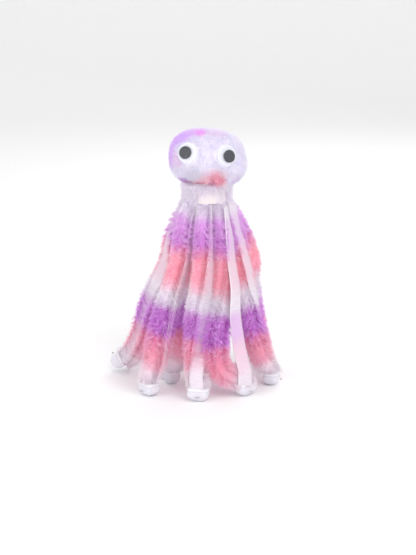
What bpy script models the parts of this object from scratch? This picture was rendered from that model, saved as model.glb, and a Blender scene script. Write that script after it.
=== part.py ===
# A soft tie-dye octopus that stands on its eight toes, +Z up, front towards -Y.
# Each leg is a rolled strip of long-pile plush with a satin ribbon closing one side. It swings
# outwards at the neck (hip) and bends outwards half way down (knee). Lengths below are in mm.
import math

import bmesh
import bpy
from mathutils import Matrix, Vector

MM = 0.001
GAP = 0.3  # air between touching pieces

# Head: a squarish cushion of short pile, filled, with two wobbly eyes
HEAD_CENTRE = (0.0, 0.0, 168.5)
HEAD_HALF = (26.5, 24.5, 19.5)
HEAD_SQUARENESS = 2.35
COVER_WALL = 2.0
NECK_OPENING = 12.5

# Neck: the gathered leg tops, wrapped with a satin band
HIP_HEIGHT = 138.0
HIP_RING = 13.0
BAND_OUTER = 16.8
BAND_WALL = 1.2
BAND_TOP = 149.0
CORE_RADIUS = 11.0
CORE_SHOULDER = 3.0  # the gather slopes out over this height
CORE_CLEARANCE = 0.45

# Legs
KNEE_SHARE = 0.52  # share of the leg's length that lies above the knee
KNEE_CLEARANCE = 2.2  # each half stops this far from the knee axis
PILE_TOP, PILE_MIDDLE, PILE_BOTTOM = 4.2, 5.0, 5.6  # half widths of the rolled strip
PILE_FLAT = 0.84  # where the roll is flattened for its ribbon
PILE_SIDES = 12
RIBBON_WIDTH = 10.0
RIBBON_THICK = 0.7
RIBBON_TOP_SHARE = 0.65  # the ribbon's width at the hip, as a share of its full width
RIBBON_START = 5.0
RIBBON_GAP = 0.85
STATION = 9.0  # spacing of the sections along a leg

# Toes: the strip's end folded up and tacked with a stitch
TOE_LENGTH = 9.3
TOE_WIDTH = 14.0
TOE_DEPTH = 12.0
TOE_ROUND = 2.6
TOE_FORWARD = 1.0  # the toe stands a little outside its leg
STITCH_SPAN = 3.2
STITCH_RADIUS = 0.4

# Eyes: a white disc, a clear dome and a loose black disc between them
EYE_RADIUS = 7.4
EYE_DISC_THICK = 1.0
DOME_HEIGHT = 3.9
DOME_WALL = 0.55
PUPIL_RADIUS = 4.5
PUPIL_THICK = 0.9
PUPIL_PLAY = 0.5  # air under the loose disc
EYE_LIFT = 1.2  # the disc sits on the pile, this far off the cushion
DISC_EDGE = 0.25
PUPIL_EDGE = 0.2
EYES = {
    "left": {"side": -13.2, "up": 7.0, "turn": -20.0, "tilt": 17.0, "pupil": (-1.2, -0.1)},
    "right": {"side": 13.2, "up": 5.4, "turn": 28.0, "tilt": 14.0, "pupil": (1.1, -0.9)},
}

# One route per leg, from the hip down to the toe, measured from the head's axis at floor level.
# "ribbon" gives the compass direction that the ribbon faces at hip, knee and toe, 0 being +X and
# 90 being +Y. "cord" is the ribbon's own route where it spans a bow in the leg. A "kicked" leg
# turns its toe sideways along its own end, and the others stand on theirs.
LEGS = {
    "front": {
        "route": [(-1, -13, 138), (-1, -18, 120), (-1.5, -23, 100), (-4, -28, 80), (-6.3, -31, 60),
                  (-6.5, -32, 44), (-6.8, -35, 30), (-6.8, -41, 19), (-6, -46, 9.6)],
        "ribbon": (-8, -40, -105),
    },
    "front_right": {
        "route": [(8.5, -10, 138), (11.5, -14, 122), (13, -18, 104), (12.5, -21, 82), (9, -26, 62),
                  (6, -33.5, 44), (6, -38, 32), (9, -40, 22), (16, -38.5, 16), (23.5, -36, 13.5),
                  (27, -34, 9.6)],
        "ribbon": (-20, -45, -75),
        "cord": [(13.5, -15.5, 137), (15.5, -19.5, 120), (17.5, -22, 100), (20.5, -26, 77),
                 (20.5, -29, 55), (23.5, -32.5, 34), (27, -41.5, 21)],
    },
    "right": {
        "route": [(13, -1, 138), (17, -4, 121), (22, -8, 102), (28, -12, 75),
                  (34, -13, 51), (38.5, -12, 27), (44, -10.5, 15), (47, -10, 9.6)],
        "ribbon": (-42, -25, 40),
    },
    "back_right": {
        "route": [(10, 8.5, 138), (17, 11, 124), (25, 14.5, 106), (31.5, 18, 88),
                  (30.5, 21, 68), (33, 23, 42), (40, 25, 18), (42.5, 26, 9.6)],
        "ribbon": (120, 130, 150),
    },
    "back": {
        "route": [(1, 13, 138), (0, 17, 120), (0, 22, 97), (1, 26, 72),
                  (3, 29, 48), (3, 33, 26), (4, 36, 14), (4.5, 37, 9.6)],
        "ribbon": (165, 150, 120),
    },
    "back_left": {
        "route": [(-9, 9.5, 138), (-16, 10, 126), (-24, 10.5, 107), (-27.5, 12, 88),
                  (-36, 13.5, 69), (-43, 15.5, 49), (-48, 17, 31), (-56, 18.5, 15), (-63.5, 19.3, 9.8)],
        "ribbon": (165, 230, 215),
        "kicked": True,
    },
    "left": {
        "route": [(-13, 1, 138), (-16, 0, 122), (-17, -1, 100), (-17.5, -2, 75),
                  (-17, -3, 51), (-18.5, -5, 29), (-24.5, -7, 14), (-26.5, -7.5, 9.6)],
        "ribbon": (16, 24, 30),
    },
    "front_left": {
        "route": [(-10, -8.5, 138), (-14.5, -11, 122), (-18.5, -16, 97), (-26, -21.5, 72),
                  (-32, -27, 50), (-37, -31.5, 26), (-40.5, -33.5, 14), (-41.5, -34, 9.6)],
        "ribbon": (-25, -20, -10),
    },
}


def make_material(name, colour, roughness):
    material = bpy.data.materials.new(name)
    material.use_nodes = True
    shader = material.node_tree.nodes["Principled BSDF"]
    shader.inputs["Base Color"].default_value = (*colour, 1.0)
    shader.inputs["Roughness"].default_value = roughness
    shader.inputs["Metallic"].default_value = 0.0
    return material


def make_materials():
    return {
        "white_pile": make_material("white_pile", (0.90, 0.88, 0.90), 0.95),
        "purple_pile": make_material("purple_pile", (0.70, 0.42, 0.84), 0.95),
        "pink_pile": make_material("pink_pile", (0.93, 0.55, 0.64), 0.95),
        "satin": make_material("satin", (0.90, 0.86, 0.88), 0.45),
        "fibre": make_material("fibre", (0.92, 0.92, 0.92), 1.0),
        "thread": make_material("thread", (0.35, 0.33, 0.34), 0.8),
        "white_plastic": make_material("white_plastic", (0.93, 0.93, 0.95), 0.35),
        "clear_plastic": make_material("clear_plastic", (0.95, 0.95, 0.97), 0.05),
        "black_plastic": make_material("black_plastic", (0.03, 0.03, 0.04), 0.3),
    }


def clear_scene():
    for obj in list(bpy.data.objects):
        bpy.data.objects.remove(obj, do_unlink=True)


def add_object(name, bm, material, smooth_angle=35.0):
    """Turns a bmesh in metres into a named, shaded object."""
    bmesh.ops.recalc_face_normals(bm, faces=bm.faces)
    mesh = bpy.data.meshes.new(name)
    bm.to_mesh(mesh)
    bm.free()
    mesh.materials.append(material)
    mesh.shade_smooth()
    mesh.set_sharp_from_angle(angle=math.radians(smooth_angle))
    obj = bpy.data.objects.new(name, mesh)
    bpy.context.scene.collection.objects.link(obj)
    return obj


def add_empty(name, matrix, parent):
    empty = bpy.data.objects.new(name, None)
    empty.empty_display_size = 5 * MM
    bpy.context.scene.collection.objects.link(empty)
    attach(empty, parent, matrix)
    return empty


def attach(obj, parent, world):
    """Parents obj so that it stands at the given world matrix."""
    bpy.context.view_layer.update()
    obj.parent = parent
    if parent:
        obj.matrix_parent_inverse = parent.matrix_world.inverted()
    obj.matrix_basis = world


def axes_matrix(x_axis, y_axis, z_axis, origin):
    matrix = Matrix((x_axis, y_axis, z_axis)).transposed().to_4x4()
    matrix.translation = origin
    return matrix


class Route:
    """A smooth curve through a list of points in mm, read by the length run along it."""

    def __init__(self, points):
        knots = [Vector(point) for point in points]
        first = knots[0] * 2 - knots[1]
        last = knots[-1] * 2 - knots[-2]
        knots = [first, *knots, last]
        self.points = []
        for index in range(1, len(knots) - 2):
            a, b, c, d = knots[index - 1:index + 3]
            for step in range(12):
                t = step / 12
                self.points.append(
                    0.5 * (2 * b + (c - a) * t + (2 * a - 5 * b + 4 * c - d) * t * t
                           + (3 * b - a - 3 * c + d) * t ** 3))
        self.points.append(knots[-2])
        self.run = [0.0]
        for a, b in zip(self.points, self.points[1:]):
            self.run.append(self.run[-1] + (b - a).length)
        self.length = self.run[-1]

    def at(self, distance):
        distance = min(max(distance, 0.0), self.length)
        for index in range(len(self.points) - 1):
            if distance <= self.run[index + 1]:
                break
        span = self.run[index + 1] - self.run[index]
        share = (distance - self.run[index]) / span
        return self.points[index].lerp(self.points[index + 1], share)

    def direction(self, distance):
        return (self.at(distance + 1.5) - self.at(distance - 1.5)).normalized()


def ribbon_frame(tangent, facing):
    """(width axis, face normal) of a ribbon that runs along tangent and faces a compass direction."""
    compass = Vector((math.cos(math.radians(facing)), math.sin(math.radians(facing)), 0))
    normal = (compass - tangent * compass.dot(tangent)).normalized()
    return tangent.cross(normal), normal


def section_direction(leg, distance):
    """The way a section faces: straight down at the hip, along the toe at the end."""
    if distance < 0.01:
        return Vector((0, 0, -1))
    if distance > leg["curve"].length - 0.01:
        return leg["toe_direction"]
    return leg["curve"].direction(distance)


def facing_at(turns, share):
    """Direction between the hip, knee and toe values, eased in two halves."""
    if share < 0.5:
        return turns[0] + (turns[1] - turns[0]) * share * 2
    return turns[1] + (turns[2] - turns[1]) * (share - 0.5) * 2


def pile_half(share):
    if share < 0.4:
        return PILE_TOP + (PILE_MIDDLE - PILE_TOP) * share / 0.4
    return PILE_MIDDLE + (PILE_BOTTOM - PILE_MIDDLE) * min(1.0, (share - 0.4) / 0.35)


def sweep(name, profile, placements, material):
    """Carries a closed profile through placements, extruding its face from one to the next."""
    bm = bmesh.new()
    start = [bm.verts.new(placements[0] @ Vector((x, y, 0))) for x, y in profile]
    face = bm.faces.new(start)
    for index in range(1, len(placements)):
        move = placements[index] @ placements[index - 1].inverted()
        grown = bmesh.ops.extrude_face_region(bm, geom=[face])["geom"]
        bmesh.ops.transform(bm, matrix=move, verts=[g for g in grown if isinstance(g, bmesh.types.BMVert)])
        if index > 1:
            bmesh.ops.delete(bm, geom=[face], context="FACES_ONLY")
        face = next(g for g in grown if isinstance(g, bmesh.types.BMFace))
    return add_object(name, bm, material)


def roll_profile():
    """A unit circle whose ribbon side is pressed flat."""
    angles = [math.tau * (i + 0.5) / PILE_SIDES for i in range(PILE_SIDES)]
    return [(math.cos(a), min(math.sin(a), PILE_FLAT)) for a in angles]


def strip_profile():
    return [(-0.5, -0.5), (0.5, -0.5), (0.5, 0.5), (-0.5, 0.5)]


def distances(start, end):
    count = max(2, round((end - start) / STATION) + 1)
    return [start + (end - start) * i / (count - 1) for i in range(count)]


def pile_placements(leg, start, end):
    route = leg["curve"]
    found = []
    for distance in distances(start, end):
        share = distance / route.length
        tangent = section_direction(leg, distance)
        across, normal = ribbon_frame(tangent, facing_at(leg["ribbon"], share))
        half = pile_half(share) * MM
        found.append(axes_matrix(across * half, normal * half, tangent, route.at(distance) * MM))
    return found


def ribbon_placements(leg, start, end):
    """Sections of the ribbon, on the roll's flat side or along its own cord."""
    route = leg.get("cord_curve") or leg["curve"]
    found = []
    for distance in distances(start, end):
        share = distance / route.length
        tangent = route.direction(distance)
        across, normal = ribbon_frame(tangent, facing_at(leg["ribbon"], share))
        width = RIBBON_WIDTH * min(1.0, RIBBON_TOP_SHARE + share * 2)
        off = 0.0
        if route is leg["curve"]:
            off = pile_half(share) * PILE_FLAT + RIBBON_GAP + RIBBON_THICK / 2
        centre = route.at(distance) + normal * off
        found.append(
            axes_matrix(across * width * MM, normal * RIBBON_THICK * MM, tangent, centre * MM))
    return found


def nearest_distance(route, point):
    steps = [route.length * i / 200 for i in range(201)]
    return min(steps, key=lambda distance: (route.at(distance) - point).length)


def add_toe(name, leg, out, material):
    """A rounded block past the end of the roll, with a flat end that meets the floor."""
    route = leg["curve"]
    end = route.at(route.length)
    down = leg["toe_direction"]
    across = down.cross(out).normalized()
    forward = across.cross(down)
    middle = end + down * (GAP + TOE_LENGTH / 2) + forward * TOE_FORWARD
    place = axes_matrix(across, forward, down, middle * MM)
    bm = bmesh.new()
    size = Matrix.Diagonal((TOE_WIDTH * MM, TOE_DEPTH * MM, TOE_LENGTH * MM, 1.0))
    bmesh.ops.create_cube(bm, size=1.0, matrix=place @ size)
    toe = add_object(name, bm, material)
    rounding = toe.modifiers.new("rounding", "BEVEL")
    rounding.width = TOE_ROUND * MM
    rounding.segments = 2
    rounding.limit_method = "ANGLE"
    return toe, place


def add_stitch(name, place, material):
    """A short arch of thread standing on the toe's outer side."""
    lift = TOE_DEPTH / 2 + GAP + STITCH_RADIUS
    curve = bpy.data.curves.new(name, "CURVE")
    curve.dimensions = "3D"
    curve.bevel_depth = STITCH_RADIUS * MM
    curve.bevel_resolution = 1
    curve.use_fill_caps = True
    spline = curve.splines.new("POLY")
    spline.points.add(4)
    for index, point in enumerate(spline.points):
        share = index / 4
        local = Vector(((share - 0.5) * STITCH_SPAN, lift + 0.7 * math.sin(math.pi * share), 0)) * MM
        point.co = (*(place @ local), 1.0)
    curve.materials.append(material)
    stitch = bpy.data.objects.new(name, curve)
    bpy.context.scene.collection.objects.link(stitch)
    return stitch


def add_leg(name, leg, root, materials):
    route = Route(leg["route"])
    leg["curve"] = route
    hip_point = route.at(0.0)
    toe_point = route.at(route.length)
    out = Vector((toe_point.x - hip_point.x, toe_point.y - hip_point.y, 0)).normalized()
    hinge = out.cross(Vector((0, 0, 1)))
    knee_run = route.length * KNEE_SHARE
    knee_point = route.at(knee_run)
    ribbon_knee = knee_run
    ribbon_length = route.length
    if "cord" in leg:
        leg["cord_curve"] = Route(leg["cord"])
        ribbon_knee = nearest_distance(leg["cord_curve"], knee_point)
        ribbon_length = leg["cord_curve"].length
        on_cord = leg["cord_curve"].at(ribbon_knee)
        knee_point = on_cord.copy()
    hip_axis = hip_point + out * (PILE_TOP + 0.6)
    hip = add_empty(f"{name}_hip", axes_matrix(hinge, out, hinge.cross(out), hip_axis * MM), root)
    knee = add_empty(f"{name}_knee", axes_matrix(hinge, out, hinge.cross(out), knee_point * MM), hip)

    leg["toe_direction"] = Vector((0, 0, -1))
    if leg.get("kicked"):
        leg["toe_direction"] = route.direction(route.length)
    clear = KNEE_CLEARANCE
    upper = sweep(f"{name}_leg_upper_pile", roll_profile(),
                  pile_placements(leg, 0.0, knee_run - clear), materials["purple_pile"])
    lower = sweep(f"{name}_leg_lower_pile", roll_profile(),
                  pile_placements(leg, knee_run + clear, route.length), materials["pink_pile"])
    upper_ribbon = sweep(f"{name}_leg_upper_ribbon", strip_profile(),
                         ribbon_placements(leg, RIBBON_START, ribbon_knee - clear), materials["satin"])
    lower_ribbon = sweep(f"{name}_leg_lower_ribbon", strip_profile(),
                         ribbon_placements(leg, ribbon_knee + clear, ribbon_length - 1.5),
                         materials["satin"])
    toe, place = add_toe(f"{name}_toe", leg, out, materials["white_pile"])
    stitch = add_stitch(f"{name}_toe_stitch", place, materials["thread"])
    for piece in (upper, upper_ribbon):
        attach(piece, hip, Matrix.Identity(4))
    for piece in (lower, lower_ribbon, toe, stitch):
        attach(piece, knee, Matrix.Identity(4))


def head_point(x, y, z):
    """Moves a point of the unit sphere onto the unit squarish cushion."""
    size = sum(abs(v) ** HEAD_SQUARENESS for v in (x, y, z)) ** (1 / HEAD_SQUARENESS)
    return Vector((x / size, y / size, z / size))


def add_cushion(inset, segments, rings):
    bm = bmesh.new()
    bmesh.ops.create_uvsphere(bm, u_segments=segments, v_segments=rings, radius=1.0)
    half = Vector(HEAD_HALF) - Vector((inset, inset, inset))
    for vert in bm.verts:
        on = head_point(*vert.co)
        vert.co = Vector(on * half for on, half in zip(on, half)) * MM + Vector(HEAD_CENTRE) * MM
    return bm


def add_head(root, materials):
    """The pile cover, open at the neck, and the fibre that fills it."""
    bm = add_cushion(0.0, 28, 16)
    floor = (HEAD_CENTRE[2] - HEAD_HALF[2] * 0.8) * MM
    low = [v for v in bm.verts if v.co.z < floor and math.hypot(v.co.x, v.co.y) < NECK_OPENING * MM * 0.8]
    bmesh.ops.delete(bm, geom=low, context="VERTS")
    cover = add_object("head_cover", bm, materials["white_pile"], 60.0)
    wall = cover.modifiers.new("wall", "SOLIDIFY")
    wall.thickness = COVER_WALL * MM
    wall.offset = -1.0
    bm = add_cushion(COVER_WALL + GAP * 2, 20, 12)
    filling = add_object("head_filling", bm, materials["fibre"], 60.0)
    for piece in (cover, filling):
        attach(piece, root, Matrix.Identity(4))


def turned(name, profile, steps, material, closed):
    """A profile of (radius, height) in mm, spun once round Z."""
    bm = bmesh.new()
    verts = [bm.verts.new((radius * MM, 0, height * MM)) for radius, height in profile]
    pairs = list(zip(verts, verts[1:]))
    if closed:
        pairs.append((verts[-1], verts[0]))
    for a, b in pairs:
        bm.edges.new((a, b))
    mesh = bpy.data.meshes.new(name)
    bm.to_mesh(mesh)
    bm.free()
    mesh.materials.append(material)
    obj = bpy.data.objects.new(name, mesh)
    bpy.context.scene.collection.objects.link(obj)
    spin = obj.modifiers.new("spin", "SCREW")
    spin.steps = steps
    spin.render_steps = steps
    spin.use_merge_vertices = True
    spin.merge_threshold = 0.00002
    spin.use_smooth_shade = True
    return obj


def add_neck(root, materials):
    bottom = HIP_HEIGHT + GAP * 2
    band = turned("neck_band", [
        (BAND_OUTER, BAND_TOP),
        (BAND_OUTER, bottom),
        (BAND_OUTER - BAND_WALL, bottom),
        (BAND_OUTER - BAND_WALL, BAND_TOP),
    ], 40, materials["satin"], True)
    core = turned("neck_gather", [
        (0.0, BAND_TOP - GAP * 2),
        (CORE_RADIUS, BAND_TOP - GAP * 2),
        (BAND_OUTER - BAND_WALL - CORE_CLEARANCE, BAND_TOP - CORE_SHOULDER),
        (BAND_OUTER - BAND_WALL - CORE_CLEARANCE, bottom),
        (0.0, bottom),
    ], 32, materials["white_pile"], False)
    for piece in (band, core):
        attach(piece, root, Matrix.Identity(4))


def dome_profile():
    """Down the outside of the clear dome and back up its inside."""
    quarter = [math.radians(90 * i / 8) for i in range(9)]
    outer = [(EYE_RADIUS * math.sin(a) ** 0.85, DOME_HEIGHT * math.cos(a) ** 0.8) for a in quarter]
    inner_radius = EYE_RADIUS - DOME_WALL
    inner_height = DOME_HEIGHT - DOME_WALL
    inner = [(inner_radius * math.sin(a) ** 0.85, inner_height * math.cos(a) ** 0.8) for a in quarter]
    return outer + inner[::-1]


def add_eye(name, eye, root, materials):
    turn = math.radians(eye["turn"])
    tilt = math.radians(eye["tilt"])
    normal = Vector((math.sin(turn) * math.cos(tilt), -math.cos(turn) * math.cos(tilt), math.sin(tilt)))
    across = Vector((math.cos(turn), math.sin(turn), 0))
    share = [eye["side"] / HEAD_HALF[0], eye["up"] / HEAD_HALF[2]]
    rest = 1 - sum(abs(s) ** HEAD_SQUARENESS for s in share)
    depth = HEAD_HALF[1] * rest ** (1 / HEAD_SQUARENESS)
    surface = Vector(HEAD_CENTRE) + Vector((eye["side"], -depth, eye["up"]))
    seat = surface + normal * EYE_LIFT
    place = axes_matrix(across, normal.cross(across), normal, seat * MM)
    disc = turned(f"{name}_eye_disc", [
        (0.0, EYE_DISC_THICK),
        (EYE_RADIUS - DISC_EDGE, EYE_DISC_THICK),
        (EYE_RADIUS, EYE_DISC_THICK - DISC_EDGE),
        (EYE_RADIUS, 0.0),
        (0.0, 0.0),
    ], 32, materials["white_plastic"], False)
    dome = turned(f"{name}_eye_dome", dome_profile(), 32, materials["clear_plastic"], False)
    pupil = turned(f"{name}_pupil", [
        (0.0, PUPIL_THICK),
        (PUPIL_RADIUS - PUPIL_EDGE, PUPIL_THICK),
        (PUPIL_RADIUS, PUPIL_THICK - PUPIL_EDGE),
        (PUPIL_RADIUS, 0.0),
        (0.0, 0.0),
    ], 28, materials["black_plastic"], False)
    attach(disc, root, place)
    attach(dome, root, place @ Matrix.Translation((0, 0, (EYE_DISC_THICK + GAP) * MM)))
    axis = add_empty(f"{name}_pupil_axis", place, root)
    aside, up = eye["pupil"]
    attach(pupil, axis, place @ Matrix.Translation((aside * MM, up * MM, (EYE_DISC_THICK + PUPIL_PLAY) * MM)))


def stand_on_origin(root):
    """Moves the whole toy so that the middle of its floor print is the origin."""
    bpy.context.view_layer.update()
    graph = bpy.context.evaluated_depsgraph_get()
    low = Vector((1, 1, 1))
    high = Vector((-1, -1, -1))
    for obj in bpy.context.scene.objects:
        if obj.type == "EMPTY":
            continue
        seen = obj.evaluated_get(graph)
        mesh = seen.to_mesh()
        for vert in mesh.vertices:
            at = seen.matrix_world @ vert.co
            low = Vector(map(min, low, at))
            high = Vector(map(max, high, at))
        seen.to_mesh_clear()
    root.location = (-(low.x + high.x) / 2, -(low.y + high.y) / 2, -low.z)
    bpy.context.view_layer.update()


def main():
    clear_scene()
    materials = make_materials()
    root = add_empty("octopus", Matrix.Identity(4), None)
    add_head(root, materials)
    add_neck(root, materials)
    for name, eye in EYES.items():
        add_eye(name, eye, root, materials)
    for name, leg in LEGS.items():
        add_leg(name, leg, root, materials)
    stand_on_origin(root)


main()
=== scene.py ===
import math

import bpy
import numpy as np
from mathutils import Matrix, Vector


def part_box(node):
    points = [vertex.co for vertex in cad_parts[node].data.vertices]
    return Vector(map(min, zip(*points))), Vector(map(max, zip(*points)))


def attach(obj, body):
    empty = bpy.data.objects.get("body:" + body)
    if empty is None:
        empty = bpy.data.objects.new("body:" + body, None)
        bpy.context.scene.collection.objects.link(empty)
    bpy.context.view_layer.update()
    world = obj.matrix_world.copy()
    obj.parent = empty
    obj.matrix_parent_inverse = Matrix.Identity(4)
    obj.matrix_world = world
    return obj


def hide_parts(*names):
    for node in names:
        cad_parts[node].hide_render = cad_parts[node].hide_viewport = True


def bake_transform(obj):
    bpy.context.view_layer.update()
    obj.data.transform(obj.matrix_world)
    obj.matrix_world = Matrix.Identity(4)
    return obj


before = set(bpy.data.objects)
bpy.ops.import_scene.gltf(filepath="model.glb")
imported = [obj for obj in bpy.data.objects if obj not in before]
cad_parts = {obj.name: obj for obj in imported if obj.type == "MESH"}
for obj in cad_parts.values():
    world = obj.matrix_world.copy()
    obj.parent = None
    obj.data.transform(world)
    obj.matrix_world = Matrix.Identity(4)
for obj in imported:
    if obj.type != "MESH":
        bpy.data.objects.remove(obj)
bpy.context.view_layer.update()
lowest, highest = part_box("neck_band")
headAxis = np.array([(lowest.x + highest.x) / 2, (lowest.y + highest.y) / 2, 0.0]) * 1000
mm = 0.001
down = np.array([0.0, 0.0, -1.0])
goldenShare = 0.6180339887  # of a turn, from one strand to the next

# The camera looks at a point a little right of the head's axis, this high, in mm.
camera = {"rise": 15.0, "distance": 1100.0, "aimRight": 0.7, "aimHeight": 79.0, "fieldHeight": 408.0}
room = {
    "floor": (0.97, 0.97, 0.972),
    "world": 0.8,
    "reach": 4.0,  # metres of floor, in front and to each side
    "bend": (1.2, 0.5),  # where the floor starts to turn up behind, and its radius
    "wall": 3.0,
    "lamps": {  # place from the toy in mm, size in mm, power in watts
        "keyLamp": ((420, -800, 800), 900, 5.0),
        "sideLamp": ((-700, -700, 300), 800, 2.6),
        "backLamp": ((250, 800, 700), 600, 2.0),
    },
}


def srgb(red, green, blue):
    # A screen colour from 0 to 255 becomes light: v/12.92 when dark, else ((v + 0.055)/1.055)^2.4.
    shares = np.array([red, green, blue], float) / 255
    light = np.where(shares <= 0.04045, shares / 12.92, ((shares + 0.055) / 1.055) ** 2.4)
    return tuple(float(v) for v in light) + (1.0,)


def smooth(value, start, end):
    # 0 before start, 1 after end, and 3t^2 - 2t^3 between them.
    t = np.clip((value - start) / (end - start), 0, 1)
    return t * t * (3 - 2 * t)


def unit(vectors):
    # Each vector over its own length.
    return vectors / np.maximum(np.linalg.norm(vectors, axis=-1, keepdims=True), 1e-9)


# Materials

class Wire:
    # A socket that adds a Math node when it meets an operator.
    def __init__(self, look, socket):
        self.look = look
        self.socket = socket

    def maths(self, operation, a, b=0.0):
        return self.look.node("ShaderNodeMath", {"operation": operation}, {0: a, 1: b})

    def __add__(self, other):
        return self.maths("ADD", self, other)

    def __sub__(self, other):
        return self.maths("SUBTRACT", self, other)

    def __rsub__(self, other):
        return self.maths("SUBTRACT", other, self)

    def __mul__(self, other):
        return self.maths("MULTIPLY", self, other)

    def __truediv__(self, other):
        return self.maths("DIVIDE", self, other)

    def __abs__(self):
        return self.maths("ABSOLUTE", self)

    __radd__ = __add__
    __rmul__ = __mul__


class Look:
    # A material round one Principled shader; values go straight on its sockets.
    def __init__(self, name, **values):
        self.material = bpy.data.materials.new(name)
        self.material.use_nodes = True
        self.tree = self.material.node_tree
        self.shader = self.tree.nodes["Principled BSDF"]
        for socket, value in values.items():
            self.shader.inputs[socket.replace("_", " ")].default_value = value

    def node(self, kind, settings, inputs, out=0):
        # Any node: its settings first, then a value or a link for each socket.
        made = self.tree.nodes.new(kind)
        for key, value in settings.items():
            if key == "stops":
                while len(made.color_ramp.elements) < len(value):
                    made.color_ramp.elements.new(1.0)
                for element, (place, colour) in zip(made.color_ramp.elements, value):
                    element.position = place
                    element.color = colour
            else:
                setattr(made, key, value)
        for key, value in inputs.items():
            if isinstance(value, Wire):
                self.tree.links.new(value.socket, made.inputs[key])
            else:
                made.inputs[key].default_value = value
        return Wire(self, made.outputs[out])

    def attribute(self, name):
        return self.node("ShaderNodeAttribute", {"attribute_name": name}, {}, 2)

    def place(self):
        return self.node("ShaderNodeTexCoord", {}, {}, 3)

    def ramp(self, value, stops):
        return self.node("ShaderNodeValToRGB", {"stops": stops}, {0: value})

    def blend(self, share, a, b):
        # a where the share is 0, b where it is 1.
        return self.node("ShaderNodeMix", {"data_type": "RGBA"}, {0: share, 6: a, 7: b}, 2)

    def noise(self, vector, scale, detail=2.0):
        return self.node("ShaderNodeTexNoise", {}, {"Vector": vector, "Scale": scale, "Detail": detail})

    def threads(self, vector, scale, detail=2.0):
        # Noise on a place that is first stretched by its own scale on each axis.
        stretched = self.node("ShaderNodeMapping", {}, {"Vector": vector, "Scale": scale})
        return self.noise(stretched, 1.0, detail)

    def ease(self, value, start, end):
        # 0 before start, 1 after end, and a smooth step between them.
        settings = {"interpolation_type": "SMOOTHSTEP", "clamp": True}
        return self.node("ShaderNodeMapRange", settings, {0: value, 1: start, 2: end, 3: 0.0, 4: 1.0})

    def spot(self, place, centre, radius):
        # 1 at the centre and 0 from the radius outwards, in metres.
        away = self.node("ShaderNodeVectorMath", {"operation": "DISTANCE"}, {0: place, 1: centre}, 1)
        return 1 - self.ease(away, 0.0, radius)

    def feed(self, socket, wire):
        self.tree.links.new(wire.socket, self.shader.inputs[socket])

    def bump(self, height, strength, distance):
        inputs = {"Height": height, "Strength": strength, "Distance": distance}
        self.feed("Normal", self.node("ShaderNodeBump", {}, inputs))


# The dye runs in bands down every leg: (mm from the neck, tip colour, root colour); each root colour is the
# band's colour darkened as painted shade down in the pile.
dye = {
    "length": 150.0,
    "toes": 146.0,  # every leg is counted as this long, so the bands keep their places
    # Where the pile is purple and where pink: (rises from, to, falls from, to), in mm down the leg.
    "purple": ((12, 18, 34, 42), (82, 88, 104, 111)),
    "pink": ((38, 46, 64, 72), (106, 112, 132, 138)),
    "bands": [
        (0, (238, 234, 242), (224, 212, 230)),
        (9, (238, 232, 242), (222, 204, 228)),
        (15, (234, 196, 240), (218, 156, 224)),
        (32, (230, 178, 236), (206, 122, 208)),
        (39, (242, 190, 222), (226, 132, 182)),
        (46, (249, 204, 216), (238, 144, 170)),
        (62, (249, 204, 218), (238, 148, 172)),
        (69, (246, 222, 230), (228, 182, 202)),
        (74, (241, 238, 243), (226, 214, 226)),
        (82, (240, 234, 243), (218, 198, 222)),
        (88, (226, 166, 236), (190, 96, 196)),
        (104, (224, 158, 234), (188, 90, 192)),
        (110, (242, 184, 216), (220, 114, 164)),
        (120, (248, 198, 216), (232, 138, 170)),
        (131, (246, 212, 226), (232, 166, 190)),
        (138, (242, 232, 238), (224, 202, 214)),
        (150, (228, 225, 232), (206, 198, 210)),
    ],
}


def bandColourRamp(look, along, which):
    # The bands' tip colours (1) or root colours (2), which carry painted shade down in the pile, each at its
    # share of the length.
    return look.ramp(along, [(band[0] / dye["length"], srgb(*band[which])) for band in dye["bands"]])


def makePlush():
    # Root colour to tip colour up each strand, the darker root colour being painted shade down in the pile,
    # with some strands paler and some darker, the darker ones painted shade between the tufts. The small
    # emission stands in for light that scatters inside the pile.
    look = Look("dyedPlushPaintedShade", Roughness=0.9, Emission_Strength=0.15, Specular_IOR_Level=0.1)
    along = look.attribute("dye") / dye["length"]
    tips = bandColourRamp(look, along, 1)
    # Root colours: the band colours darkened as painted shade down in the pile.
    shadedRoots = bandColourRamp(look, along, 2)
    hair = look.attribute("hair")
    colour = look.blend(look.ease(look.attribute("tip"), 0.05, 0.9), shadedRoots, tips)
    colour = look.blend(look.ease(hair, 0.72, 1.0) * 0.4, colour, srgb(252, 240, 250))
    # Random darker strands take the shaded root colour: painted shade for the dark lines between tufts.
    colour = look.blend(look.ease(0.34 - hair, 0.0, 0.3) * 0.5, colour, shadedRoots)
    look.feed("Base Color", colour)
    look.feed("Emission Color", colour)
    return look


def makeRibbonLook():
    # A pale satin that takes a third to two thirds of the dye, with lengthwise threads and a paler edge.
    satin = {"Sheen_Weight": 0.35, "Sheen_Roughness": 0.35, "Coat_Weight": 0.12, "Coat_Roughness": 0.3}
    look = Look("satinRibbon", **satin)
    tint = bandColourRamp(look, look.attribute("dye") / dye["length"], 1)
    cut = look.node("ShaderNodeUVMap", {"uv_map": "cut"}, {})
    threads = look.threads(cut, (70.0, 6.0, 1.0), 3.0)
    cloudy = look.threads(cut, (1.5, 9.0, 1.0))
    edge = look.ease(abs(look.attribute("across")), 0.86, 0.97)
    colour = look.blend(0.35 + 0.3 * look.ease(cloudy, 0.35, 0.65), srgb(216, 200, 216), tint)
    colour = look.blend(0.22 * look.ease(threads, 0.4, 0.75), colour, srgb(246, 240, 246))
    colour = look.blend(edge * 0.8, colour, srgb(246, 238, 246))
    colour = look.blend(0.12, colour, srgb(150, 130, 150))
    look.feed("Base Color", colour)
    look.feed("Roughness", 0.38 + 0.2 * threads)
    look.bump(threads + 0.6 * edge, 0.5, 0.00012)
    return look


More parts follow.
